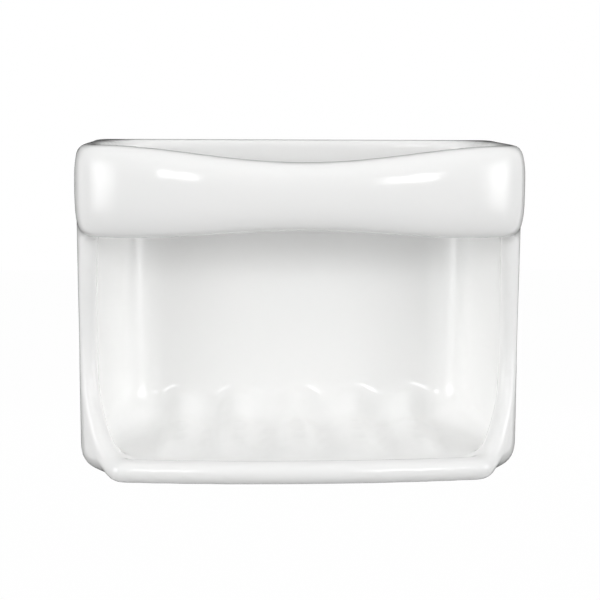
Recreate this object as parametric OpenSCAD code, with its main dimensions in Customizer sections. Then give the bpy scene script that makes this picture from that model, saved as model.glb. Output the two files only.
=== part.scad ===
// Ceramic soap dish with a washcloth bar, hung on a steel wall clip.
// X runs to the right, Z up, and the room lies towards minus Y. The wall is the plane Y = 0, and the
// origin is the centre of the dish's back, which is also the centre of the clip.

/* [Dish] */
// Width across the cheeks
dish_w = 162; // [150:1:180]
// Height of the back plate
dish_h = 121; // [114:1:136]
// How far the bar stands out from the wall
dish_d = 78; // [74:1:88]
// Thickness of the back plate
back_t = 11; // [10:0.5:13]
// Thickness of a cheek near its front edge
cheek_t = 6.4; // [5.2:0.2:7.6]
// How much thicker a cheek is where it meets the back plate
cheek_draft = 6.6; // [4:0.2:8]
// Radius of the inside corners, between back plate, cheeks and tray floor
cove_r = 15; // [11:0.5:17]
// Radius of the outside edges along the top
edge_r = 4.3; // [3:0.1:5]
// Radius of the outside edges along the underside
base_r = 8; // [5:0.5:9]

/* [Tray] */
// How far the tray's lip stands out from the wall
tray_d = 76; // [70:1:80]
// Height of the lip above the underside
lip_h = 8.6; // [8:0.2:10]
// Thickness of the tray floor at the back
floor_back_t = 9.5; // [8.5:0.5:12]
// Thickness of the tray floor behind the lip
floor_front_t = 6; // [5:0.2:6.6]
// How much further out the lip stands in the middle than at its corners
lip_bow = 4; // [1:0.5:6]
// How far each front corner of the tray is cut back sideways
corner_w = 14.5; // [11:0.5:17]
// How far each front corner of the tray is cut back towards the wall
corner_d = 21; // [19:0.5:26]
// Radius where the cut meets the lip
corner_r = 8; // [6:0.5:10]
// Radius where the cut meets the cheek
cheek_r = 16; // [12:1:24]

/* [Cheek edges] */
// How far a cheek stands out at its waist, the narrowest place
waist_d = 51.7; // [50.5:0.1:54]
// Height of the waist above the underside
waist_h = 48; // [40:1:58]
// How much further out the cheek's edge is under the bar
waist_flare = 4.5; // [2:0.5:6]

/* [Ridges] */
// Number of ridges that the soap lies on
ridge_count = 5; // [1:2:5]
// Distance between two ridges
ridge_pitch = 22.5; // [20:0.5:24]
// Width of a ridge
ridge_w = 21.5; // [14:0.5:22]
// Height of a ridge above the tray floor
ridge_h = 3.4; // [2.5:0.1:5]
// Height above the underside at which a ridge starts on the back cove
ridge_start_h = 24; // [20:0.5:24.4]
// Gap between a ridge's foot and the inside of the lip
ridge_gap = 2; // [1:0.5:6]

/* [Washcloth bar] */
// Height of the bar at its ends
bar_h = 32.5; // [29:0.5:36]
// How much lower than the back plate the bar's ends are
bar_drop = 1.7; // [1:0.1:4]
// How much the top edge dips in the middle
bar_dip = 5.8; // [3:0.1:8]
// How much the lower edge rises in the middle
bar_rise = 3; // [1:0.1:4]
// Thickness of the bar in the middle
bar_t = 13; // [11:0.5:15]
// Thickness of the arms that carry the bar
arm_t = 11; // [9:0.5:12]
// How far out the joint between each arm and the bar lies
joint_d = 46; // [43:0.5:47]
// How much of the cheek's top the bar's foot takes
foot_h = 1.5; // [1:0.1:3]

/* [Wall clip] */
// Width of the flat of the clip
clip_w = 46; // [40:0.5:52]
// Height of the clip
clip_h = 32; // [26:0.5:34]
// Thickness of the clip's sheet
clip_t = 1.5; // [1:0.1:1.8]
// How far the slanted flanges reach sideways and forwards
flange_l = 4; // [3:0.1:4.4]
// Play between the flanges and the dish, square to the flange
clip_play = 0.35; // [0.3:0.05:0.5]
// Gap above the clip where the dish comes to rest on it
stop_gap = 0.3; // [0.2:0.05:0.4]
// Free space between the clip's front and the bottom of the pocket
pocket_play = 0.9; // [0.5:0.1:1.1]

/* [Screws] */
// Distance between the two screws
screw_pitch = 26; // [22:0.5:30]
// Diameter of the shank
screw_d = 4.2; // [3.5:0.1:4.6]
// Length of the shank
screw_l = 32; // [26:1:40]
// Diameter of the head
head_d = 8; // [7.2:0.1:9]
// Height of the head
head_h = 2.6; // [2:0.1:2.9]
// Width of the slots of the cross recess
recess_w = 1; // [0.8:0.1:1.2]
// Length of the slots of the cross recess
recess_l = 4.4; // [3.6:0.1:5]
// Depth of the cross recess
recess_d = 1.5; // [1:0.1:1.7]
// Play of the shank in the clip's hole, on the diameter
hole_play = 0.6; // [0.4:0.1:0.8]

/* [Wall anchors] */
// Diameter of the anchor's body
anchor_d = 6.4; // [6.2:0.1:7.5]
// Length of the anchor
anchor_l = 26; // [24:1:34]
// How far the anchor is driven in past the wall's face, clear of the tile's glaze
anchor_sink = 3; // [2.5:0.5:5]
// Length of the smooth neck at its near end
anchor_neck = 8; // [5:0.5:10]
// Number of barbs
barb_count = 5; // [2:1:6]
// How deep the body is cut back in front of each barb
barb_h = 0.5; // [0.3:0.1:0.6]
// Play of the screw in the anchor, on the diameter
anchor_play = 0.1; // [0.06:0.02:0.2]
// Width of the slit that lets the anchor spread
slit_w = 0.8; // [0.5:0.1:1.2]

/* [Hidden] */

glaze = "white";
steel = "lightsteelblue";
plastic = "silver";

// Overrun of cuts past a face
over = 1;
// How deep a ridge is rooted in the tray floor, how far under it the ridge's curve starts, and the
// stations along the floor
ridge_root = 1.5;
ridge_sink = 0.4;
ridge_stop_shares = [0.15, 0.35, 0.55, 0.72, 0.86, 1];
// Steps down the cove, and the stations over which a ridge rises at its top and fades at its foot
ridge_cove_steps = 8;
ridge_rise_steps = 2.6;
ridge_fade_steps = 3;
// How far the rim of a cheek stays back from the cheek's outside, and its middle in front of the face
// that it rounds off
rim_sink = 0.15;
rim_bare = 0.3;
// Where the front of the bar or of the tray lies, which a cut from the room has to reach past
front_d = max(dish_d, tray_d);
// Thickness of the thin plates that hulls are spanned between
plate_t = 0.01;
// Steps in a rounded edge, in a round corner, along half the lip, round a section and along the rim
edge_steps = 4;
corner_steps = 6;
bow_steps = 8;
section_steps = 28;
rim_steps = 14;

base_z = -dish_h / 2;
half_w = dish_w / 2;
floor_z = base_z + floor_back_t;

// Radii of the rounded rim, along the cheeks and along the lip
rim_r = cheek_t / 2;
lip_r = lip_h / 2;
lip_t = 2 * lip_r;

// Heights of the bar at its ends and in the middle
bar_top = base_z + dish_h - bar_drop;
bar_foot = bar_top - bar_h;

// The bar's plan is half a rounded oblong: this exponent, from its joints with the arms forwards
plan_n = 3.2;
plan_b = dish_d - joint_d;
// Half the width over which the bar's edges dip and rise, and over which its section fills out
dip_half_share = 0.92;
rise_half_share = 0.8;
// Exponents of the bar's section: rounder in the middle, squarer at the ends
section_n_mid = 2.6;
section_n_end = 3.1;
// Share of the bar's thickness that lies in front of its ridge line
bar_front_share = 0.54;

// The rim's curve from its waist down to the lip: exponent of a rounded quarter
rim_n = 1.8;

// Pocket in the dish's back
clip_half = clip_w / 2;
clip_d = flange_l + clip_t / sqrt(2);
pocket_d = clip_d + pocket_play;
mouth_half = clip_half + clip_play * sqrt(2);
pocket_half = mouth_half + pocket_d;
// How much wider and deeper the open stretch below the clip is
entry_play = 0.5;
lift = clip_h + over;

function smooth(t) = let (c = max(0, min(1, t))) c * c * (3 - 2 * c);
// The points of a left half and then of its mirror image, with the middle point once
function both_halves(points) =
    concat(points, [for (i = [len(points) - 2:-1:0]) [-points[i].x, points[i].y, points[i].z]]);
function unit(v) = v / norm(v);

// Left half of the tray's outline, moved in by a distance: from the wall to the middle of the lip.
// Each corner is [point, radius], and the arcs replace the corners.
turn_a = atan(corner_w / corner_d);
corner_y = -tray_d + lip_bow;
function corner_pts(inset) = [
    [-half_w + inset, corner_y + corner_d + inset * tan(turn_a / 2)],
    [-half_w + corner_w + inset * tan((90 - turn_a) / 2), corner_y + inset]
];
function fillet(before, corner, after, radius) =
    let (
        u = unit(before - corner),
        v = unit(after - corner),
        half = acos(u * v) / 2,
        reach = radius / tan(half),
        centre = corner + unit(u + v) * radius / sin(half),
        a0 = corner + u * reach - centre,
        a1 = corner + v * reach - centre,
        angle = 180 - 2 * half
    )
    [for (i = [0:corner_steps]) let (s = i / corner_steps)
        centre + (a0 * sin((1 - s) * angle) + a1 * sin(s * angle)) / sin(angle)];
function left_outline(inset) =
    let (
        c = corner_pts(inset),
        wall = [-half_w + inset, 0],
        ahead = c[1] - [c[1].x, 2 * lip_bow],
        turn = fillet(c[0], c[1], ahead, max(corner_r - inset, plate_t)),
        end_x = turn[corner_steps].x
    )
    concat([wall], fillet(wall, c[0], c[1], cheek_r - inset), turn,
           [for (i = [1:bow_steps]) let (x = end_x * (1 - i / bow_steps))
               [x, -tray_d + inset + lip_bow * pow(x / c[1].x, 2)]]);
function outline(inset) =
    let (left = left_outline(inset))
    concat(left, [for (i = [len(left) - 2:-1:0]) [-left[i].x, left[i].y]]);

// Height of the arms' top at a distance from the wall: level with the back plate there
function arm_top(d) =
    bar_top + bar_drop * max(0, 1 - max(0, d - back_t) / (joint_d + plan_b / 2 - back_t));

module level(z, inset) {
    translate([0, 0, z]) linear_extrude(plate_t) polygon(outline(inset));
}

module back_level(z, inset) {
    translate([0, 0, z]) linear_extrude(plate_t) intersection() {
        polygon(outline(inset));
        translate([-half_w, -back_t + inset]) square([dish_w, back_t]);
    }
}

// The solid that the tray, the cheeks and the back plate are cut from
module block() {
    front_top = arm_top(tray_d);
    hull() {
        for (i = [0:edge_steps]) {
            a = 90 * i / edge_steps;
            down = edge_r * (1 - cos(a)) + plate_t;
            inset = edge_r * (1 - sin(a));
            level(base_z + base_r * (1 - cos(a)), base_r * (1 - sin(a)));
            level(front_top - down, inset);
            back_level(base_z + dish_h - down, inset);
        }
    }
}

// Thickness of the tray floor at a distance from the wall
small_r = corner_r - cheek_t / 2;
floor_back_d = back_t + cove_r;
floor_front_d = tray_d - lip_t - small_r;
floor_fall = (floor_back_t - floor_front_t) / (floor_front_d - floor_back_d);
function floor_t(d) = floor_back_t - floor_fall * (d - floor_back_d);

// The hollow between back plate, cheeks and lip, wider at the front and sloping down to the lip
module hollow() {
    back_x = half_w - cheek_t - cheek_draft - cove_r;
    top = base_z + dish_h + over;
    cheek_p = corner_pts(cheek_t + small_r)[0];
    lip_p = corner_pts(lip_t + small_r)[1];
    middle_p = [0, -tray_d + lip_t + small_r];
    hull() for (side = [-1, 1]) {
        translate([side * back_x, -back_t - cove_r, floor_z + cove_r]) {
            sphere(r = cove_r, $fn = 40);
            cylinder(r = cove_r, h = top - floor_z - cove_r, $fn = 40);
        }
        for (p = [cheek_p, lip_p, middle_p])
            translate([side * p.x, p.y, base_z + floor_t(-p.y) + small_r]) {
                sphere(r = small_r, $fn = 24);
                cylinder(r = small_r, h = top - base_z - floor_t(-p.y) - small_r, $fn = 24);
            }
    }
}

// Centre line of the rim, below its waist: from there it curves out to the lip's height, which it reaches
// where the lip's corner begins
arc_start = corner_steps + 2;
turn_d = -corner_pts(cheek_t + small_r)[0].y;
turn_end_d = -corner_pts(lip_t + small_r)[1].y;
rim_waist = waist_d - rim_r_at(waist_d - rim_r);
rim_lip = -left_outline(lip_r)[arc_start].y;
function rim_low_z(a) = base_z + waist_h - (waist_h - lip_r) * pow(sin(a), 2 / rim_n);
function rim_low_d(a) = rim_lip - (rim_lip - rim_waist) * pow(cos(a), 2 / rim_n);
// Above the waist the edge leans out to meet the bar
rim_top_z = bar_foot + bar_h / 4;
function rim_high_d(z) = rim_waist + waist_flare * pow((z - base_z - waist_h) / (rim_top_z - base_z - waist_h), 2);
// Half the thickness of the wall that the rim rounds off, at a distance from the wall behind
function rim_r_at(d) =
    let (
        ahead = max(0, min(1, (d - turn_d) / (turn_end_d - turn_d))),
        behind = max(0, turn_d - d) / (turn_d - floor_back_d)
    )
    rim_r + (lip_r - rim_r) * ahead + cheek_draft / 2 * behind;

module front_cut() {
    low = [for (i = [0:rim_steps]) let (a = 90 * i / rim_steps)
        [-rim_low_d(a) + rim_bare, rim_low_z(a)]];
    high = [for (i = [0:rim_steps - 1])
        let (z = rim_top_z + (base_z + waist_h - rim_top_z) * i / rim_steps)
        [-rim_high_d(z) + rim_bare, z]];
    far = -front_d - over;
    top = base_z + dish_h + over;
    translate([-half_w - over, 0, 0]) rotate([90, 0, 90]) linear_extrude(dish_w + 2 * over)
        polygon(concat([[far, top], [-rim_high_d(rim_top_z) + rim_bare, top]], high, low,
                       [[far, base_z + lip_r]]));
}

// The rounded rim of cheeks and lip, down the left cheek, along the lip and up the right one
module rim() {
    mid = left_outline(lip_r);
    plan = [for (i = [0:arc_start + corner_steps])
        let (p = left_outline(rim_r_at(-mid[i].y) + rim_sink)[i])
        [-p.y, p.x]];
    high = [for (i = [0:rim_steps - 1])
        let (z = rim_top_z + (base_z + waist_h - rim_top_z) * i / rim_steps, d = rim_high_d(z))
        [lookup(d, plan), -d, z]];
    low = [for (i = [0:rim_steps]) let (a = 90 * i / rim_steps, d = rim_low_d(a)) if (d < rim_lip)
        [lookup(d, plan), -d, rim_low_z(a)]];
    corner = [for (i = [0:2:corner_steps - 1]) arc_start + i];
    bow = [for (i = [arc_start + corner_steps:len(mid) - 1]) i];
    arc = [for (i = concat(corner, bow)) [mid[i].x, mid[i].y, base_z + lip_r]];
    path = both_halves(concat(high, low, arc));
    for (i = [0:len(path) - 2]) hull() for (p = [path[i], path[i + 1]])
        translate(p) sphere(r = rim_r_at(-p.y), $fn = 20);
}

// A closed skin over rings of points, with flat ends
module skin(rings) {
    n = len(rings);
    m = len(rings[0]);
    sides = [for (i = [0:n - 2]) for (j = [0:m - 1]) let (k = (j + 1) % m)
        each [[i * m + j, i * m + k, (i + 1) * m + k], [i * m + j, (i + 1) * m + k, (i + 1) * m + j]]];
    ends = [[for (j = [m - 1:-1:0]) j], [for (j = [0:m - 1]) (n - 1) * m + j]];
    polyhedron([for (r = rings) each r], concat(sides, ends), convexity = 4);
}

// Foot line of a ridge, on the cove and then down the tray floor, as [y, z, slope]
ridge_foot_y = -tray_d + lip_t + ridge_gap;
function ridge_line() =
    let (
        cy = -floor_back_d,
        cz = floor_z + cove_r,
        a0 = asin((cz - base_z - ridge_start_h) / cove_r),
        run = cy - ridge_foot_y
    )
    concat(
        [for (i = [0:ridge_cove_steps]) let (a = a0 + (90 - a0) * i / ridge_cove_steps)
            [cy + cove_r * cos(a), cz - cove_r * sin(a), 90 - a]],
        [for (s = ridge_stop_shares) [cy - run * s, floor_z - run * s * floor_fall, atan(floor_fall)]]
    );

// A section of a ridge, square to its foot line: one wave that starts just under the floor, on a sunk root
function ridge_section(at, share) =
    [for (p = concat(
        [for (i = [0:14]) let (s = i / 14)
            [ridge_w * (s - 0.5), (ridge_h + ridge_sink) * share * (1 - cos(360 * s)) / 2 - ridge_sink]],
        [[ridge_w / 2, -ridge_root], [-ridge_w / 2, -ridge_root]]))
        [p.x, at[0] - p.y * sin(at[2]), at[1] + p.y * cos(at[2])]];

module ridge() {
    line = ridge_line();
    last = len(line) - 1;
    skin([for (i = [0:last])
        ridge_section(line[i], smooth(i / ridge_rise_steps) * smooth((last - i) / ridge_fade_steps))]);
}

// The bar's plan: outer line and outward direction at each station, from the left wall round to the right
function plan_point(x_share) =
    let (y_share = pow(max(0, 1 - pow(abs(x_share), plan_n)), 1 / plan_n))
    [half_w * x_share, -joint_d - plan_b * y_share, x_share, y_share];
function plan_normal(p) =
    let (
        nx = pow(abs(p[2]), plan_n - 1) / half_w * sign(p[2]),
        ny = -pow(p[3], plan_n - 1) / plan_b
    )
    unit([nx, ny]);

function bar_section(p, normal, fill) =
    let (
        across = abs(p.x) / half_w,
        dip = bar_dip * (1 + cos(180 * min(1, across / dip_half_share))) / 2,
        rise = bar_rise * (1 + cos(180 * min(1, across / rise_half_share))) / 2,
        top = arm_top(-p.y) - dip,
        low = bar_foot + rise,
        n = section_n_end + (section_n_mid - section_n_end) * fill,
        t = arm_t + (bar_t - arm_t) * fill,
        front = t * (0.5 + (bar_front_share - 0.5) * fill)
    )
    [for (i = [0:section_steps - 1])
        let (
            a = 360 * i / section_steps,
            c = pow(abs(cos(a)), 2 / n),
            s = sign(sin(a)) * pow(abs(sin(a)), 2 / n),
            out = cos(a) >= 0 ? -front + front * c : -front - (t - front) * c
        )
        [p.x + normal.x * out, p.y + normal.y * out, (top + low) / 2 + (top - low) / 2 * s]];

// The bar with its arms, one sweep from the back plate round the front and back again
module band() {
    side_share = 0.8;
    side_y_share = pow(1 - pow(side_share, plan_n), 1 / plan_n);
    arm = [for (s = [0, 0.5]) [-half_w, -back_t / 2 - (joint_d - back_t / 2) * s, -1, 0]];
    corner = [for (i = [0:9]) let (ys = side_y_share * i / 10, xs = -pow(1 - pow(ys, plan_n), 1 / plan_n))
        [half_w * xs, -joint_d - plan_b * ys, xs, ys]];
    front = [for (i = [0:13]) plan_point(-side_share * (1 - i / 13))];
    left = concat(arm, corner, front);
    right = [for (i = [len(left) - 2:-1:0]) [-left[i].x, left[i].y, -left[i][2], left[i][3]]];
    skin([for (p = concat(left, right))
        bar_section(p, plan_normal(p), smooth((1 - abs(p[2])) / (1 - side_share)))]);
}

// Everything glazed, before it is parted into dish and bar
module glazed_form() {
    difference() {
        block();
        hollow();
        front_cut();
    }
    rim();
    band();
    for (i = [0:ridge_count - 1])
        translate([(i - (ridge_count - 1) / 2) * ridge_pitch, 0, 0]) ridge();
}

// The bar's share: all that lies in front of the joint and above the step in the cheeks
module bar_zone() {
    translate([-half_w - over, -front_d - over, bar_foot - foot_h])
        cube([dish_w + 2 * over, front_d - joint_d + over, dish_h]);
}

// Dovetail pocket that the clip slides up into, with an open stretch below it to enter by
module clip_pocket() {
    top = clip_h / 2 + stop_gap;
    entry_top = -clip_h / 2 - stop_gap;
    low = entry_top - lift - over;
    entry_half = pocket_half + entry_play;
    translate([0, 0, entry_top - over]) linear_extrude(top - entry_top + over)
        polygon([[-mouth_half - over, over], [mouth_half + over, over], [mouth_half, 0],
                 [pocket_half, -pocket_d], [-pocket_half, -pocket_d], [-mouth_half, 0]]);
    translate([-entry_half, -pocket_d - entry_play, low])
        cube([2 * entry_half, pocket_d + entry_play + over, entry_top - low]);
}

module dish_body() {
    color(glaze) difference() {
        glazed_form();
        bar_zone();
        clip_pocket();
    }
}

module washcloth_bar() {
    color(glaze) intersection() {
        glazed_form();
        bar_zone();
    }
}

module mounting_clip() {
    bend = clip_t * (sqrt(2) - 1);
    right = [[clip_half, 0], [clip_half + flange_l, -flange_l],
             [clip_half + flange_l - clip_t / sqrt(2), -clip_d], [clip_half - bend, -clip_t]];
    color(steel) difference() {
        translate([0, 0, -clip_h / 2]) linear_extrude(clip_h)
            polygon(concat(right, [for (i = [3:-1:0]) [-right[i].x, right[i].y]]));
        for (side = [-1, 1])
            translate([side * screw_pitch / 2, over, 0]) rotate([90, 0, 0])
                cylinder(d = screw_d + hole_play, h = clip_t + 2 * over, $fn = 48);
    }
}

// A pan-head screw along Y, its head on the clip's front
module clip_screw(x) {
    tip_l = screw_d;
    crown_h = head_h / 2;
    translate([x, -clip_t, 0]) rotate([-90, 0, 0]) color(steel) difference() {
        union() {
            rotate_extrude($fn = 48) polygon(concat(
                [[0, 0], [head_d / 2, 0], [head_d / 2, -head_h + crown_h]],
                [for (a = [15:15:75]) [head_d / 2 * pow(cos(a), 0.6), -head_h + crown_h - crown_h * sin(a)]],
                [[0, -head_h]]));
            cylinder(d = screw_d, h = screw_l - tip_l, $fn = 48);
            translate([0, 0, screw_l - tip_l]) cylinder(d1 = screw_d, d2 = screw_d / 6, h = tip_l, $fn = 48);
        }
        for (turn = [0, 90])
            rotate([0, 0, turn]) translate([-recess_l / 2, -recess_w / 2, -head_h - over])
                cube([recess_l, recess_w, recess_d + over]);
    }
}

module clip_screw_left() { clip_screw(-screw_pitch / 2); }
module clip_screw_right() { clip_screw(screw_pitch / 2); }

// A barbed plug sunk in the wall, behind the clip, slit from its far end
module wall_anchor(x) {
    barb_l = (anchor_l - anchor_neck) / barb_count;
    translate([x, anchor_sink, 0]) rotate([-90, 0, 0]) color(plastic) difference() {
        rotate_extrude($fn = 48) polygon(concat(
            [[screw_d / 2 + anchor_play / 2, 0], [anchor_d / 2, 0]],
            [for (i = [0:barb_count - 1]) each [
                [anchor_d / 2, anchor_neck + barb_l * i],
                [anchor_d / 2 - barb_h, anchor_neck + barb_l * (i + 1)]]],
            [[screw_d / 2 + anchor_play / 2, anchor_l]]));
        translate([-slit_w / 2, -anchor_d, anchor_neck + barb_l / 2])
            cube([slit_w, 2 * anchor_d, anchor_l]);
    }
}

module wall_anchor_left() { wall_anchor(-screw_pitch / 2); }
module wall_anchor_right() { wall_anchor(screw_pitch / 2); }

dish_body();
washcloth_bar();
mounting_clip();
clip_screw_left();
clip_screw_right();
wall_anchor_left();
wall_anchor_right();
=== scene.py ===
"""Glazed wall soap dish with a washcloth bar, its wall clip, screws and wall anchors.

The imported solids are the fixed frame. This script gives the casting its soft glazed surface,
builds the hanging hardware in detail, and sets up the floor, the lamps and the camera.
Lengths are in metres in the solids' own frame: +Z up, -Y into the room, the wall at Y = 0.
"""

import sys

import logging
import math
from contextlib import contextmanager
from dataclasses import dataclass
from enum import Enum
from typing import Callable, Iterator, Sequence

import bpy
from mathutils import Matrix, Vector


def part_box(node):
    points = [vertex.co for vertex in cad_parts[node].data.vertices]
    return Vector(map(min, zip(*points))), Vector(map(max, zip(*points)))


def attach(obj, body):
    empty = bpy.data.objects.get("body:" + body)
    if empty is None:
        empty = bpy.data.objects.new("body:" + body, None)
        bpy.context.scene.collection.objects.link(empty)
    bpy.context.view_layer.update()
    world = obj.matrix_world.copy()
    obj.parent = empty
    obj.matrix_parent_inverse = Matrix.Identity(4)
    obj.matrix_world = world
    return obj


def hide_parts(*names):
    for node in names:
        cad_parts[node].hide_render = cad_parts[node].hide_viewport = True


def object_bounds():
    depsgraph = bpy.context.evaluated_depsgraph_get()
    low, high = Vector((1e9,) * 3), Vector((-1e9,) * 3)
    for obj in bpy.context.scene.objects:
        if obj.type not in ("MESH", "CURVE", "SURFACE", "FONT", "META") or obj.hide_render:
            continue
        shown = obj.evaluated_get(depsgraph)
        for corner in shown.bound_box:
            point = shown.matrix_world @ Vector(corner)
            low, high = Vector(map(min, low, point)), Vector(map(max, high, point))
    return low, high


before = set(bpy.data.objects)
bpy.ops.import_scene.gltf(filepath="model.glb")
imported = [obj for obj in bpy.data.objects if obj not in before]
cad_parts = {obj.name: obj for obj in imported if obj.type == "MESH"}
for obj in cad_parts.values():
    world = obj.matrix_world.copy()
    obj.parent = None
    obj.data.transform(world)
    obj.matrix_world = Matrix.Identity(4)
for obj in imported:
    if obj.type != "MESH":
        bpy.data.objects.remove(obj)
CAD_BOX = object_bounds()

MM = 0.001
MERGE = 0.001 * MM
NEAR = 0.01 * MM
OVERRUN = 1 * MM
SIDES = (("left", -1), ("right", 1))
WHITE = (1, 1, 1, 1)
Colour = tuple[float, float, float]
Point = tuple[float, float, float]
Span = tuple[float, float]

logging.basicConfig(level=logging.INFO, format="%(message)s", stream=sys.stdout)
log = logging.getLogger("soap_dish")


class Body(Enum):
    """The two bodies that move against each other."""

    WALL = "wall_mount"
    DISH = "dish"


class Slot(Enum):
    """The record's material slots."""

    GLAZE = "glaze"
    CLIP = "clip_steel"
    SCREW = "screw_steel"
    ANCHOR = "anchor_plastic"


# ---------------------------------------------------------------- modelling


def only(obj: bpy.types.Object) -> None:
    """Makes one object the selected and active one."""
    bpy.ops.object.select_all(action="DESELECT")
    obj.select_set(True)
    bpy.context.view_layer.objects.active = obj


def join(first: bpy.types.Object, *others: bpy.types.Object) -> None:
    """Joins meshes into the first object."""
    only(first)
    for other in others:
        other.select_set(True)
    bpy.ops.object.join()


@contextmanager
def editing(obj: bpy.types.Object, selected: bool = True) -> Iterator[None]:
    """Edit mode on one object.

    Args:
        obj: The mesh object to edit.
        selected: Whether all of its mesh starts out selected.
    """
    only(obj)
    bpy.ops.object.mode_set(mode="EDIT")
    bpy.ops.mesh.select_mode(type="VERT")
    bpy.ops.mesh.select_all(action="SELECT" if selected else "DESELECT")
    yield
    bpy.ops.object.mode_set(mode="OBJECT")


def pick(obj: bpy.types.Object, test: Callable[[Vector], bool], edges: bool = False) -> None:
    """Selects vertices by where they are, or the edges with both ends there.

    Args:
        obj: The mesh object, in edit mode.
        test: Says of a place whether a vertex there is picked.
        edges: Whether edges are picked instead of vertices.
    """
    bpy.ops.mesh.select_mode(type="EDGE" if edges else "VERT")
    bpy.ops.object.mode_set(mode="OBJECT")
    picked = [test(vertex.co) for vertex in obj.data.vertices]
    if edges:
        for edge in obj.data.edges:
            edge.select = all(picked[i] for i in edge.vertices)
    else:
        for vertex, chosen in zip(obj.data.vertices, picked):
            vertex.select = chosen
    bpy.ops.object.mode_set(mode="EDIT")


def named(name: str) -> bpy.types.Object:
    """Names the primitive that was added last and applies its place to its mesh.

    Args:
        name: The name of the object and its mesh.

    Returns:
        The object.
    """
    obj = bpy.context.active_object
    obj.name = obj.data.name = name
    only(obj)
    bpy.ops.object.transform_apply(location=True, rotation=True, scale=True)
    return obj


def duplicate(obj: bpy.types.Object, name: str) -> bpy.types.Object:
    """Copies an object with a mesh of its own."""
    copy = obj.copy()
    copy.data = obj.data.copy()
    copy.name = copy.data.name = name
    bpy.context.scene.collection.objects.link(copy)
    return copy


def modify(obj: bpy.types.Object, kind: str, **settings: object) -> None:
    """Adds a modifier and applies it.

    Args:
        obj: The mesh object.
        kind: The modifier's type.
        **settings: The modifier's values by name.
    """
    only(obj)
    modifier = obj.modifiers.new(kind.title(), kind)
    for key, value in settings.items():
        setattr(modifier, key, value)
    bpy.ops.object.modifier_apply(modifier=modifier.name)


def combine(obj: bpy.types.Object, tool: bpy.types.Object, operation: str, keep: bool = False) -> None:
    """Cuts, joins or trims a mesh with another one.

    Args:
        obj: The mesh object that changes.
        tool: The mesh object that it is combined with.
        operation: DIFFERENCE, UNION or INTERSECT.
        keep: Whether the tool stays for another use.
    """
    modify(obj, "BOOLEAN", operation=operation, solver="EXACT", object=tool)
    if not keep:
        bpy.data.objects.remove(tool)


def sheet(name: str, centre: Point, size: Span, turn: Point = (0, 0, 0)) -> bpy.types.Object:
    """A flat rectangle.

    Args:
        name: The object's name.
        centre: Its centre.
        size: Its first and second side, before it is turned.
        turn: How it is turned, in radians about X, Y and Z.

    Returns:
        The rectangle, one face.
    """
    bpy.ops.mesh.primitive_plane_add(size=1)
    obj = named(name)
    with editing(obj):
        bpy.ops.transform.resize(value=(*size, 1), center_override=(0, 0, 0))
    obj.location, obj.rotation_euler = centre, turn
    return named(name)


def box(name: str, low: Sequence[float], high: Sequence[float]) -> bpy.types.Object:
    """A box between two corners."""
    centre = [(a + b) / 2 for a, b in zip(low, high)]
    size = [b - a for a, b in zip(low, high)]
    bpy.ops.mesh.primitive_cube_add(size=1, location=centre, scale=size)
    return named(name)


def turned(name: str, x: float, stations: Sequence[Span], sides: int = 48) -> bpy.types.Object:
    """A turned solid about an axis along Y, drawn out from a disc station by station.

    Args:
        name: The object's name.
        x: Where the axis stands, at Z = 0.
        stations: Distance along Y and radius of each station, from the room into the wall.
        sides: Sides of each ring.

    Returns:
        The closed solid, its faces pointing outwards.
    """
    (y, r), *rest = stations
    bpy.ops.mesh.primitive_circle_add(
        vertices=sides, radius=r, fill_type="NGON", location=(x, y, 0), rotation=(math.pi / 2, 0, 0)
    )
    obj = named(name)
    with editing(obj):
        for y_next, r_next in rest:
            bpy.ops.mesh.extrude_region_move(TRANSFORM_OT_translate={"value": (0, y_next - y, 0)})
            share = r_next / r
            bpy.ops.transform.resize(value=(share, 1, share), center_override=(x, y_next, 0))
            y, r = y_next, r_next
        bpy.ops.mesh.select_all(action="SELECT")
        bpy.ops.mesh.normals_make_consistent(inside=False)
    return obj


def soften(obj: bpy.types.Object, width: float, segments: int = 2, angle: float = 30) -> None:
    """Rounds the edges that are sharper than an angle and shades the piece smooth.

    Args:
        obj: The mesh object.
        width: Width of the rounding.
        segments: Steps in it.
        angle: The angle in degrees.
    """
    modify(obj, "BEVEL", width=width, segments=segments, limit_method="ANGLE",
           angle_limit=math.radians(angle), use_clamp_overlap=True, harden_normals=False)
    only(obj)
    bpy.ops.object.shade_smooth_by_angle(angle=math.radians(angle))


def place(
    obj: bpy.types.Object, body: Body, slot: Slot, material: bpy.types.Material, *nodes: str
) -> None:
    """Dresses a finished piece, lets it ride on its body and stand for its solids.

    Args:
        obj: The piece.
        body: The body that it moves with.
        slot: The record's slot for its finish; not used.
        material: Its material.
        *nodes: The solids that it stands for.
    """
    obj.data.materials.clear()
    obj.data.materials.append(material)
    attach(obj, body.value)
    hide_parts(*nodes)
    log.info("%s: %d faces, stands for %s", obj.name, len(obj.data.polygons), ", ".join(nodes))


# ---------------------------------------------------------------- finishes


def scaled(value: float, shares: Span) -> Span:
    """A value times two shares."""
    low, high = shares
    return value * low, value * high


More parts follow.
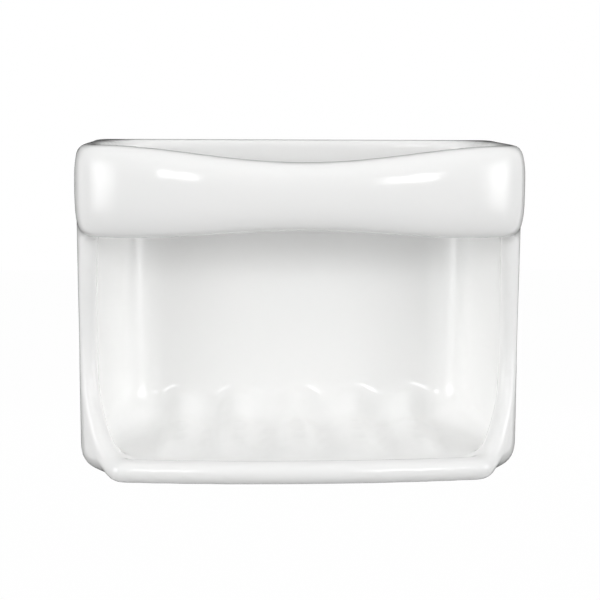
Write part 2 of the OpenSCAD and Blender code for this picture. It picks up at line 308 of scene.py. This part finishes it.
class Graph:
    """The node tree of a material, a lamp or the world, written as calls."""

    def __init__(self, owner: bpy.types.ID) -> None:
        """Starts an empty tree on its owner."""
        self.owner = owner
        owner.use_nodes = True
        self.tree = owner.node_tree
        self.tree.nodes.clear()

    @classmethod
    def material(cls, name: str) -> "Graph":
        """Starts a new material's tree."""
        return cls(bpy.data.materials.new(name))

    def add(self, kind: str, inputs: dict | None = None, **settings: object) -> bpy.types.Node:
        """Adds a node.

        Args:
            kind: The node's type without its ShaderNode prefix.
            inputs: Values or sockets by the input's name or number.
            **settings: The node's own values.

        Returns:
            The node.
        """
        node = self.tree.nodes.new("ShaderNode" + kind)
        for key, value in settings.items():
            setattr(node, key, value)
        for key, value in (inputs or {}).items():
            if isinstance(value, bpy.types.NodeSocket):
                self.tree.links.new(value, node.inputs[key])
            else:
                node.inputs[key].default_value = value
        return node

    def point(self) -> bpy.types.NodeSocket:
        """The point on the piece, in the solids' frame."""
        return self.add("TexCoord").outputs["Object"]

    def math(self, operation: str, *values: object) -> bpy.types.NodeSocket:
        """One step of arithmetic."""
        return self.add("Math", dict(enumerate(values)), operation=operation).outputs[0]

    def noise(self, scale: float, detail: float = 2.0, roughness: float = 0.5) -> bpy.types.NodeSocket:
        """Soft noise on the piece, with features about 1 / scale metres long."""
        values = {"Vector": self.point(), "Scale": scale, "Detail": detail, "Roughness": roughness}
        return self.add("TexNoise", values).outputs["Fac"]

    def stretched(self, scales: Point) -> bpy.types.NodeSocket:
        """Noise drawn out by a scale of its own along each axis."""
        mapped = self.add("Mapping", {"Vector": self.point(), "Scale": scales}).outputs[0]
        return self.add("TexNoise", {"Vector": mapped, "Scale": 1.0, "Detail": 3.0}).outputs["Fac"]

    def ramp(self, value: object, low: float, high: float, to_low: float = 0, to_high: float = 1,
             smooth: bool = False) -> bpy.types.NodeSocket:
        """Maps a span of values to another one, held at its ends."""
        inputs = {"Value": value, "From Min": low, "From Max": high, "To Min": to_low, "To Max": to_high}
        kind = "SMOOTHSTEP" if smooth else "LINEAR"
        return self.add("MapRange", inputs, interpolation_type=kind).outputs["Result"]

    def drift(self, scale: float, low: float, high: float, detail: float = 3,
              span: Span = (0.3, 0.7)) -> bpy.types.NodeSocket:
        """A value that drifts between two levels over the piece.

        Args:
            scale: The noise's scale.
            low: The lower level.
            high: The upper level.
            detail: The noise's detail.
            span: The noise values that give the two levels.

        Returns:
            The value.
        """
        return self.ramp(self.noise(scale, detail), *span, low, high)

    def mix(self, share: object, first: object, second: object) -> bpy.types.NodeSocket:
        """A colour between two."""
        opaque = [(*c, 1) if isinstance(c, tuple) else c for c in (first, second)]
        node = self.add("Mix", {0: share, 6: opaque[0], 7: opaque[1]}, data_type="RGBA")
        return node.outputs[2]

    def bump(self, height: object, distance: float, strength: float = 1.0,
             normal: bpy.types.NodeSocket | None = None) -> bpy.types.NodeSocket:
        """Relief from a height, over the relief that is already there."""
        inputs = {"Height": height, "Distance": distance, "Strength": strength}
        if normal is not None:
            inputs["Normal"] = normal
        return self.add("Bump", inputs).outputs["Normal"]

    def close(self, shader: bpy.types.Node, kind: str = "Material") -> bpy.types.ID:
        """Sends a shader to the output and returns the tree's owner."""
        self.add("Output" + kind, {"Surface": shader.outputs[0]})
        return self.owner

    def surface(self, **inputs: object) -> bpy.types.Material:
        """Closes the tree with a Principled surface whose inputs are given with _ for a space."""
        values = {key.replace("_", " "): value for key, value in inputs.items()}
        return self.close(self.add("BsdfPrincipled", values))


@dataclass(frozen=True)
class Glaze:
    """Clear gloss over a white body, left off where the piece stood in the kiln."""

    colour: Colour = (0.925, 0.925, 0.918)
    thick_colour: Colour = (0.913, 0.916, 0.910)
    bisque: Colour = (0.80, 0.78, 0.74)
    bisque_dark: Colour = (0.73, 0.70, 0.655)
    roughness: float = 0.06
    rough_shares: Span = (0.85, 1.2)
    bisque_roughness: float = 0.78
    pool_scale: float = 26
    pool_span: Span = (0.35, 0.65)
    sheen_scale: float = 55
    wave_scale: float = 85
    wave_h: float = 0.10 * MM
    clay_scale: float = 420
    grain_scale: float = 2600
    grain_h: float = 0.12 * MM
    back_band: float = 1.2 * MM
    band_blur: float = 0.25 * MM
    wobble_scale: float = 70
    wobble: float = 0.35 * MM
    pocket_half: float = 30.5 * MM
    pocket_top: float = 17.5 * MM
    pocket_low: float = -51.5 * MM
    pocket_depth: float = 6.9 * MM

    def bare(self, graph: Graph) -> bpy.types.NodeSocket:
        """How bare the body is at a point: 1 on the back and in the clip's pocket, else 0."""
        axes = graph.add("SeparateXYZ", {0: graph.point()}).outputs
        y = graph.math("ADD", axes["Y"], graph.drift(self.wobble_scale, -self.wobble, self.wobble))
        band = (-self.back_band - self.band_blur, -self.back_band + self.band_blur)
        back = graph.ramp(y, *band, smooth=True)
        pocket = graph.math("LESS_THAN", graph.math("ABSOLUTE", axes["X"]), self.pocket_half)
        for axis, test, limit in (
            ("Z", "LESS_THAN", self.pocket_top),
            ("Z", "GREATER_THAN", self.pocket_low),
            ("Y", "GREATER_THAN", -self.pocket_depth),
        ):
            pocket = graph.math("MULTIPLY", pocket, graph.math(test, axes[axis], limit))
        return graph.math("MAXIMUM", back, pocket)

    def material(self) -> bpy.types.Material:
        """Builds the material.

        Returns:
            The glaze with its bare parts.
        """
        graph = Graph.material("white_glaze")
        bare = self.bare(graph)
        pools = graph.drift(self.pool_scale, 0, 1, span=self.pool_span)
        gloss = graph.mix(pools, self.colour, self.thick_colour)
        crumbs = graph.noise(self.clay_scale, detail=5, roughness=0.65)
        clay = graph.mix(crumbs, self.bisque_dark, self.bisque)
        sheen = scaled(self.roughness, self.rough_shares)
        gloss_rough = graph.drift(self.sheen_scale, *sheen, detail=2)
        waves = graph.bump(graph.noise(self.wave_scale, detail=1.5), self.wave_h, strength=0.35)
        grain = graph.math("MULTIPLY", graph.noise(self.grain_scale, detail=3, roughness=0.7), bare)
        return graph.surface(
            Base_Color=graph.mix(bare, gloss, clay),
            Roughness=graph.ramp(bare, 0, 1, gloss_rough, self.bisque_roughness),
            Normal=graph.bump(grain, self.grain_h, strength=0.6, normal=waves),
        )


@dataclass(frozen=True)
class ZincPlate:
    """Bright zinc over sheet or wire, with a faint crystal pattern and fine drawing lines."""

    name: str
    colour: Colour
    dull_colour: Colour
    roughness: float = 0.3
    crystal: float = 380.0
    rough_shares: Span = (0.8, 1.5)
    tones: Span = (0.2, 0.8)
    patina_scale: float = 160
    patina_shares: Span = (0.5, 1.2)
    line_scales: Point = (90, 90, 6000)
    line_h: float = 0.02 * MM

    def material(self) -> bpy.types.Material:
        """Builds the material.

        Returns:
            The plated steel.
        """
        graph = Graph.material(self.name)
        cells = graph.add("TexVoronoi", {"Vector": graph.point(), "Scale": self.crystal}, feature="F1")
        tone = graph.ramp(cells.outputs["Color"], 0, 1, *self.tones)
        dulling = graph.drift(self.patina_scale, *self.patina_shares, detail=4)
        patina = graph.math("MULTIPLY", tone, dulling)
        return graph.surface(
            Base_Color=graph.mix(patina, self.colour, self.dull_colour),
            Metallic=1.0,
            Roughness=graph.ramp(patina, 0, 1, *scaled(self.roughness, self.rough_shares)),
            Normal=graph.bump(graph.stretched(self.line_scales), self.line_h, strength=0.25),
        )


@dataclass(frozen=True)
class Nylon:
    """Moulded grey nylon with a satin skin."""

    colour: Colour = (0.62, 0.63, 0.64)
    flow_colour: Colour = (0.56, 0.57, 0.585)
    flow_scales: Point = (260, 70, 260)
    roughness: float = 0.48
    rough_shares: Span = (0.85, 1.15)
    rough_scale: float = 500
    skin_scale: float = 3200
    skin_h: float = 0.03 * MM

    def material(self) -> bpy.types.Material:
        """Builds the material.

        Returns:
            The nylon.
        """
        graph = Graph.material("grey_nylon")
        return graph.surface(
            Base_Color=graph.mix(graph.stretched(self.flow_scales), self.colour, self.flow_colour),
            Roughness=graph.drift(self.rough_scale, *scaled(self.roughness, self.rough_shares)),
            Normal=graph.bump(graph.noise(self.skin_scale), self.skin_h, strength=0.3),
        )


# ---------------------------------------------------------------- the casting


@dataclass(frozen=True)
class Pocket:
    """The bare pocket in the back that the clip slides up into, with an open stretch below it."""

    mouth_half: float = 23.5 * MM
    half: float = 29.46 * MM
    depth: float = 5.96 * MM
    top: float = 16.3 * MM
    entry_half: float = 29.96 * MM
    entry_depth: float = 6.46 * MM
    entry_top: float = -16.3 * MM
    entry_low: float = -50.3 * MM
    plug_margin: float = 1.5 * MM

    def plug(self) -> bpy.types.Object:
        """A block that fills the pocket, flush with the back."""
        half = self.entry_half + self.plug_margin
        low = (-half, -self.entry_depth - self.plug_margin, self.entry_low - self.plug_margin)
        return box("pocket_plug", low, (half, 0, self.top + self.plug_margin))

    def dovetail(self) -> bpy.types.Object:
        """The slanted part that the clip's flanges hold, its mouth past the back."""
        low = (-self.half, -self.depth, self.entry_top - OVERRUN)
        obj = box("dovetail", low, (self.half, 0, self.top))
        share = self.mouth_half / self.half
        with editing(obj, selected=False):
            pick(obj, lambda point: point.y > -self.depth / 2)
            bpy.ops.transform.resize(value=(share, 1, 1), center_override=(0, 0, 0))
            bpy.ops.mesh.extrude_region_move(TRANSFORM_OT_translate={"value": (0, OVERRUN, 0)})
        return obj

    def entry(self) -> bpy.types.Object:
        """The open stretch below the dovetail, where the clip goes in."""
        low = (-self.entry_half, -self.entry_depth, self.entry_low)
        return box("entry", low, (self.entry_half, OVERRUN, self.entry_top))


@dataclass
class GlazedCasting:
    """The dish and its washcloth bar: one soft glazed form, parted where the bar is luted on."""

    pocket: Pocket = Pocket()
    grain: float = 1.0 * MM
    fillet: float = 1.8 * MM
    bowl_fillet: float = 2.4 * MM
    bowl_top: float = 17 * MM
    settle_passes: int = 3
    ease_passes: int = 28
    ease: float = 0.5
    ease_back: float = -0.53
    crease_angle: float = 60.0
    margin: float = 10 * MM

    def joined(self) -> bpy.types.Object:
        """Copies both solids, merged, with the pocket filled, as one mesh."""
        copies = []
        for node in ("dish_body", "washcloth_bar"):
            copy = duplicate(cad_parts[node], node + "_copy")
            copy.parent = None
            with editing(copy):
                bpy.ops.mesh.remove_doubles(threshold=MERGE)
            copies.append(copy)
        form, bar = copies
        join(form, bar, self.pocket.plug())
        form.name = form.data.name = "glazed_form"
        for key in list(form.keys()):
            del form[key]
        return form

    def regrained(self, form: bpy.types.Object) -> None:
        """Draws the mesh anew in even quads."""
        modify(form, "REMESH", mode="VOXEL", voxel_size=self.grain)

    def filled(self, form: bpy.types.Object, radius: float) -> None:
        """Fills the inside corners up to a radius: swells the form and shrinks it back."""
        for distance in (radius, -radius):
            modify(form, "SMOOTH", factor=self.ease, iterations=self.settle_passes)
            modify(form, "DISPLACE", strength=distance, mid_level=0)
            self.regrained(form)

    def melted(self, form: bpy.types.Object) -> None:
        """Fills the form's inside corners as glaze does and eases it almost without shrinking.

        The bowl below the bar is filled more softly than the rest.
        """
        self.regrained(form)
        bowl = duplicate(form, "bowl")
        self.filled(bowl, self.bowl_fillet)
        low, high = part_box("dish_body")
        zone = box("bowl_zone", low - Vector([OVERRUN] * 3), (high.x + OVERRUN, OVERRUN, self.bowl_top))
        combine(bowl, zone, "INTERSECT")
        join(form, bowl)
        self.regrained(form)
        self.filled(form, self.fillet)
        with editing(form):
            for _ in range(self.ease_passes):
                bpy.ops.mesh.vertices_smooth(factor=self.ease)
                bpy.ops.mesh.vertices_smooth(factor=self.ease_back)

    def build(self, material: bpy.types.Material) -> None:
        """Makes and places the dish and the bar.

        Args:
            material: The glaze.
        """
        dish = self.joined()
        self.melted(dish)
        bar = duplicate(dish, "bar")
        low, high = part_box("washcloth_bar")
        zone = box(
            "bar_zone",
            (low.x - self.margin, low.y - self.margin, low.z),
            (high.x + self.margin, high.y, high.z + self.margin),
        )
        combine(dish, zone, "DIFFERENCE", keep=True)
        combine(bar, zone, "INTERSECT")
        for cutter in (self.pocket.dovetail(), self.pocket.entry()):
            combine(dish, cutter, "DIFFERENCE")
        for obj, name, node in (
            (dish, "glazed_dish", "dish_body"),
            (bar, "glazed_bar", "washcloth_bar"),
        ):
            obj.name = obj.data.name = name
            only(obj)
            bpy.ops.object.shade_smooth_by_angle(angle=math.radians(self.crease_angle))
            place(obj, Body.DISH, Slot.GLAZE, material, node)


# ---------------------------------------------------------------- the hardware


@dataclass
class WallClip:
    """The bent sheet clip on the wall, with two slanted flanges that the dish slides down on."""

    width: float = 46 * MM
    height: float = 32 * MM
    gauge: float = 1.5 * MM
    flange: float = 4 * MM
    hole_pitch: float = 26 * MM
    hole_r: float = 2.4 * MM
    bend_r: float = 0.9 * MM
    corner_r: float = 1.6 * MM
    edge_r: float = 0.22 * MM

    def flat(self) -> bpy.types.Object:
        """The sheet's wall side as a thin face with its two flanges bent forward."""
        half = self.width / 2
        obj = sheet("wall_clip", (0, 0, 0), (self.width, self.height), (math.pi / 2, 0, 0))
        for _, side in SIDES:
            with editing(obj, selected=False):
                pick(obj, lambda point: abs(point.x - side * half) < NEAR, edges=True)
                move = (side * self.flange, -self.flange, 0)
                bpy.ops.mesh.extrude_region_move(TRANSFORM_OT_translate={"value": move})
        return obj

    def rounded(self, obj: bpy.types.Object) -> None:
        """Rounds the two bends and the flanges' corners."""
        half = self.width / 2
        reach = half + self.flange
        with editing(obj, selected=False):
            pick(obj, lambda point: abs(abs(point.x) - half) < NEAR, edges=True)
            bpy.ops.mesh.bevel(offset=self.bend_r, segments=4, affect="EDGES")
        with editing(obj, selected=False):
            pick(obj, lambda point: abs(abs(point.x) - reach) < NEAR)
            bpy.ops.mesh.bevel(offset=self.corner_r, segments=5, affect="VERTICES")

    def build(self, material: bpy.types.Material) -> None:
        """Makes and places the clip.

        Args:
            material: The plated steel.
        """
        obj = self.flat()
        self.rounded(obj)
        facing = sum(face.normal.y * face.area for face in obj.data.polygons)
        offset = 1 if facing < 0 else -1
        modify(obj, "SOLIDIFY", thickness=self.gauge, offset=offset, use_even_offset=True)
        for _, side in SIDES:
            ends = [(-self.gauge - OVERRUN, self.hole_r), (OVERRUN, self.hole_r)]
            combine(obj, turned("hole", side * self.hole_pitch / 2, ends), "DIFFERENCE")
        soften(obj, self.edge_r)
        place(obj, Body.WALL, Slot.CLIP, material, "mounting_clip")


@dataclass
class ClipScrews:
    """The two pan-head screws that hold the clip, each with a cross recess and a cut thread."""

    pitch: float = 26 * MM
    seat_y: float = -1.5 * MM
    head_r: float = 4 * MM
    head_h: float = 2.6 * MM
    dome_angles: tuple[float, ...] = (88, 75, 60, 45, 30, 15, 0)
    dome_power: float = 0.6
    pole_r: float = 0.05 * MM
    shank_r: float = 2.1 * MM
    core_r: float = 1.5 * MM
    length: float = 32 * MM
    smooth_l: float = 3 * MM
    neck_l: float = 0.4 * MM
    tip_l: float = 4.2 * MM
    tip_share: float = 0.12
    thread_lead: float = 1.5 * MM
    thread_half: float = 0.55 * MM
    thread_root: float = 0.2 * MM
    thread_steps: int = 28
    crest_share: float = 0.16
    recess_w: float = 1.0 * MM
    recess_l: float = 4.4 * MM
    recess_d: float = 1.5 * MM
    edge_r: float = 0.12 * MM

    def dome(self) -> list[Span]:
        """Stations of the head, from its pole to its rim."""
        crown = self.head_h / 2
        stations = []
        for angle in map(math.radians, self.dome_angles):
            y = self.seat_y - self.head_h + crown * (1 - math.sin(angle))
            stations.append((y, max(self.pole_r, self.head_r * math.cos(angle) ** self.dome_power)))
        return stations

    def core(self) -> list[Span]:
        """Stations from the head's underside to the tip."""
        smooth_end = self.seat_y + self.smooth_l
        end = self.seat_y + self.length
        return [
            (self.seat_y, self.head_r),
            (self.seat_y, self.shank_r),
            (smooth_end, self.shank_r),
            (smooth_end + self.neck_l, self.core_r),
            (end - self.tip_l, self.core_r),
            (end, self.core_r * self.tip_share),
        ]

    def plain(self, x: float) -> bpy.types.Object:
        """The screw without its thread, with its cross recess."""
        front = self.seat_y - self.head_h
        obj = turned("screw", x, self.dome() + self.core())
        arms = (self.recess_l / 2, self.recess_w / 2)
        for half_x, half_z in (arms, arms[::-1]):
            low = (x - half_x, front - OVERRUN, -half_z)
            combine(obj, box("recess", low, (x + half_x, front + self.recess_d, half_z)), "DIFFERENCE")
        return obj

    def thread(self, x: float) -> bpy.types.Object:
        """The raised helix round the core, as one closed tube."""
        turns = int((self.length - self.smooth_l - self.tip_l) / self.thread_lead)
        foot, crest = self.core_r - self.thread_root, self.shank_r
        radius = (foot + crest) / 2
        middle = self.seat_y + self.smooth_l + self.neck_l + self.thread_half
        obj = sheet("thread", (radius, middle, 0), (crest - foot, 2 * self.thread_half))
        with editing(obj, selected=False):
            pick(obj, lambda point: point.x > radius)
            bpy.ops.transform.resize(value=(1, self.crest_share, 1), center_override=(crest, middle, 0))
            bpy.ops.mesh.select_all(action="SELECT")
            bpy.ops.mesh.delete(type="ONLY_FACE")
        modify(obj, "SCREW", axis="Y", angle=math.tau, screw_offset=self.thread_lead, iterations=turns,
               steps=self.thread_steps, render_steps=self.thread_steps, use_merge_vertices=False)
        with editing(obj):
            bpy.ops.mesh.remove_doubles(threshold=MERGE)
            bpy.ops.mesh.select_all(action="DESELECT")
            bpy.ops.mesh.select_non_manifold()
            bpy.ops.mesh.edge_face_add()
            bpy.ops.mesh.select_all(action="SELECT")
            bpy.ops.mesh.normals_make_consistent(inside=False)
            bpy.ops.transform.translate(value=(x, 0, 0))
        return obj

    def build(self, material: bpy.types.Material) -> None:
        """Makes and places both screws.

        Args:
            material: The plated steel.
        """
        for name, side in SIDES:
            x = side * self.pitch / 2
            obj = self.plain(x)
            combine(obj, self.thread(x), "UNION")
            obj.name = obj.data.name = f"screw_{name}"
            soften(obj, self.edge_r)
            place(obj, Body.WALL, Slot.SCREW, material, f"clip_screw_{name}")


@dataclass
class WallAnchors:
    """The two barbed nylon anchors, slit from the far end so that the screw spreads them."""

    pitch: float = 26 * MM
    sink: float = 3 * MM
    radius: float = 3.2 * MM
    bore_r: float = 2.15 * MM
    length: float = 26 * MM
    neck: float = 8 * MM
    barbs: int = 5
    barb_h: float = 0.5 * MM
    barb_taper: float = 0.9
    slit: float = 0.8 * MM
    edge_r: float = 0.12 * MM

    def barb_l(self) -> float:
        """Length of one barb."""
        return (self.length - self.neck) / self.barbs

    def outline(self) -> list[Span]:
        """Stations of the outside, tapered back in front of each barb."""
        waist = self.radius - self.barb_h
        stations = [(self.sink, self.radius)]
        for i in range(self.barbs):
            start = self.sink + self.neck + self.barb_l() * i
            stations += [(start, self.radius), (start + self.barb_l() * self.barb_taper, waist)]
        stations.append((self.sink + self.length, waist))
        return stations

    def build(self, material: bpy.types.Material) -> None:
        """Makes and places both anchors.

        Args:
            material: The nylon.
        """
        past_end = self.sink + self.length + OVERRUN
        slit_y = self.sink + self.neck + self.barb_l() / 2
        for name, side in SIDES:
            x = side * self.pitch / 2
            obj = turned(f"anchor_{name}", x, self.outline())
            bore = turned("bore", x, [(self.sink - OVERRUN, self.bore_r), (past_end, self.bore_r)])
            combine(obj, bore, "DIFFERENCE")
            low = (x - self.slit / 2, slit_y, -2 * self.radius)
            combine(obj, box("slit", low, (x + self.slit / 2, past_end, 2 * self.radius)), "DIFFERENCE")
            soften(obj, self.edge_r)
            place(obj, Body.WALL, Slot.ANCHOR, material, f"wall_anchor_{name}")


# ---------------------------------------------------------------- the studio


@dataclass(frozen=True)
class Lamp:
    """A soft box that looks at the object.

    Attributes:
        name: Its name.
        azimuth: Degrees round from the room side, to the right if positive.
        elevation: Degrees above the object.
        size: Its width and height.
        radiance: How bright its face is, where 1 is white.
        distance: How far off it stands.
        mirrored: Whether the glaze mirrors it. If so, its edges fade out.
        feather: How much of each side fades out, as a share of the lamp.
    """

    name: str
    azimuth: float
    elevation: float
    size: Span
    radiance: float
    distance: float = 1.3
    mirrored: bool = True
    feather: float = 0.3

    @classmethod
    def pair(cls, name: str, azimuth: float, **rest: object) -> Iterator["Lamp"]:
        """The same lamp on the left and on the right."""
        return (cls(f"{name}_{side}", sign * azimuth, **rest) for side, sign in SIDES)

    def fade(self, data: bpy.types.Light) -> None:
        """Lets the lamp's face fade out towards its edges."""
        graph = Graph(data)
        face = graph.add("NewGeometry").outputs["Parametric"]
        across = graph.add("SeparateXYZ", {0: face}).outputs
        level = 1.0
        for axis in "XY":
            for edge, full in ((0, self.feather), (1, 1 - self.feather)):
                level = graph.math("MULTIPLY", level, graph.ramp(across[axis], edge, full, smooth=True))
        graph.close(graph.add("Emission", {"Strength": level}), "Light")

    def build(self, target: Vector) -> None:
        """Sets the lamp up and points it at a place."""
        a, e = math.radians(self.azimuth), math.radians(self.elevation)
        way = Vector((math.sin(a) * math.cos(e), -math.cos(a) * math.cos(e), math.sin(e)))
        data = bpy.data.lights.new(self.name, "AREA")
        data.shape = "RECTANGLE"
        data.size, data.size_y = self.size
        data.energy = math.pi * math.prod(self.size) * self.radiance
        if self.mirrored:
            self.fade(data)
        obj = bpy.data.objects.new(self.name, data)
        bpy.context.scene.collection.objects.link(obj)
        turn = (-way).to_track_quat("-Z", "Y").to_matrix().to_4x4()
        obj.matrix_world = Matrix.Translation(target + way * self.distance) @ turn
        obj.visible_camera = False
        obj.visible_glossy = self.mirrored


@dataclass(frozen=True)
class Card:
    """A matt black card behind the object that only reflections see."""

    centre: Point = (0, 0.3, 0.05)
    size: Span = (1.1, 0.9)
    colour: Colour = (0.004, 0.004, 0.004)

    def build(self) -> None:
        """Stands the card up, facing the room."""
        obj = sheet("card_behind", self.centre, self.size, (math.pi / 2, 0, 0))
        graph = Graph.material(obj.name)
        obj.data.materials.append(graph.close(graph.add("BsdfDiffuse", {"Color": (*self.colour, 1)})))
        obj.visible_camera = obj.visible_diffuse = obj.visible_shadow = obj.visible_transmission = False


@dataclass
class Studio:
    """White surroundings and floor, soft boxes, and a dark card behind the object."""

    floor_z: float = -0.31
    floor_size: float = 6.0
    floor_colour: Colour = (0.3, 0.3, 0.3)
    floor_share: float = 0.97
    floor_glow: float = 1.02
    ambient: float = 0.03
    card: Card = Card()
    lamps: tuple[Lamp, ...] = (
        *Lamp.pair("far_box", 64, elevation=8, size=(1.1, 1.2), radiance=5.2, feather=0.5),
        *Lamp.pair("near_fill", 44, elevation=6, size=(0.45, 0.45), radiance=5.3, mirrored=False),
        *Lamp.pair("high_fill", 70, elevation=45, size=(0.6, 0.6), radiance=1.8, mirrored=False),
        Lamp("front_lamp_left", -16.5, elevation=17, size=(0.38, 0.40), radiance=6.0, distance=1.4),
        Lamp("front_lamp_right", 17.5, elevation=15, size=(0.46, 0.40), radiance=6.0, distance=1.4),
        Lamp("overhead_fill", 0, elevation=82, size=(0.6, 0.6), radiance=3.6, mirrored=False),
        *Lamp.pair("back_fill", 150, elevation=5, size=(0.6, 0.6), radiance=3.6, feather=0.1),
    )

    def world(self) -> None:
        """White to the eye and in reflections, and a low even light."""
        graph = Graph(bpy.data.worlds.new("white_surroundings"))
        bpy.context.scene.world = graph.owner
        path = graph.add("LightPath").outputs
        seen = graph.math("MAXIMUM", path["Is Camera Ray"], path["Is Glossy Ray"])
        seen = graph.math("MAXIMUM", seen, path["Is Transmission Ray"])
        level = graph.ramp(seen, 0, 1, self.ambient, 1)
        graph.close(graph.add("Background", {"Color": WHITE, "Strength": level}), "World")

    def floor(self) -> None:
        """A pale floor, near white to the eye, that keeps the object's shadow."""
        bpy.ops.mesh.primitive_plane_add(size=self.floor_size, location=(0, 0, self.floor_z))
        floor = named("studio_floor")
        graph = Graph.material("pale_floor")
        seen = graph.add("LightPath").outputs["Is Camera Ray"]
        diffuse = graph.add("BsdfDiffuse", {"Color": (*self.floor_colour, 1)}).outputs[0]
        glow = graph.add("Emission", {"Color": WHITE, "Strength": self.floor_glow}).outputs[0]
        share = graph.ramp(seen, 0, 1, 0, self.floor_share)
        floor.data.materials.append(graph.close(graph.add("MixShader", {0: share, 1: diffuse, 2: glow})))
        floor.visible_glossy = False

    def build(self) -> None:
        """Sets up everything round the object."""
        self.world()
        self.floor()
        self.card.build()
        low, high = CAD_BOX
        for lamp in self.lamps:
            lamp.build((low + high) / 2)
        bpy.context.scene.view_settings.view_transform = "Standard"
        log.info("studio: %d lamps", len(self.lamps))


@dataclass(frozen=True)
class Camera:
    """The photograph's viewpoint, as it was fitted to the solids, with its angles in degrees."""

    target: Point = (0, -35 * MM, 0)
    distance: float = 468.9 * MM
    yaw: float = 2.50
    pitch: float = 7.50
    roll: float = 0.21
    lens: float = 74.57
    shift: Span = (0.0025, 0.0024)

    def build(self) -> None:
        """Makes the camera the scene's own."""
        yaw, pitch, roll = (math.radians(a) for a in (self.yaw, self.pitch, self.roll))
        level = math.cos(pitch)
        back = Vector((-math.sin(yaw) * level, -math.cos(yaw) * level, math.sin(pitch)))
        right = Vector((0, 0, 1)).cross(back).normalized()
        up = back.cross(right)
        turned_right = right * math.cos(roll) + up * math.sin(roll)
        turned_up = up * math.cos(roll) - right * math.sin(roll)
        data = bpy.data.cameras.new("photo_camera")
        data.lens = self.lens
        data.shift_x, data.shift_y = self.shift
        obj = bpy.data.objects.new("photo_camera", data)
        bpy.context.scene.collection.objects.link(obj)
        turn = Matrix((turned_right, turned_up, back)).transposed().to_4x4()
        obj.matrix_world = Matrix.Translation(Vector(self.target) + back * self.distance) @ turn
        bpy.context.scene.camera = obj


def main() -> None:
    """Builds the object, its finishes and the studio."""
    bpy.ops.object.select_all(action="DESELECT")
    Camera().build()
    Studio().build()
    GlazedCasting().build(Glaze().material())
    sheet_zinc = ZincPlate("zinc_sheet", (0.68, 0.69, 0.71), (0.50, 0.51, 0.53))
    screw_zinc = ZincPlate(
        "zinc_screw", (0.66, 0.67, 0.70), (0.47, 0.48, 0.51), roughness=0.26, crystal=900
    )
    WallClip().build(sheet_zinc.material())
    ClipScrews().build(screw_zinc.material())
    WallAnchors().build(Nylon().material())


if __name__ == "__main__":
    main()
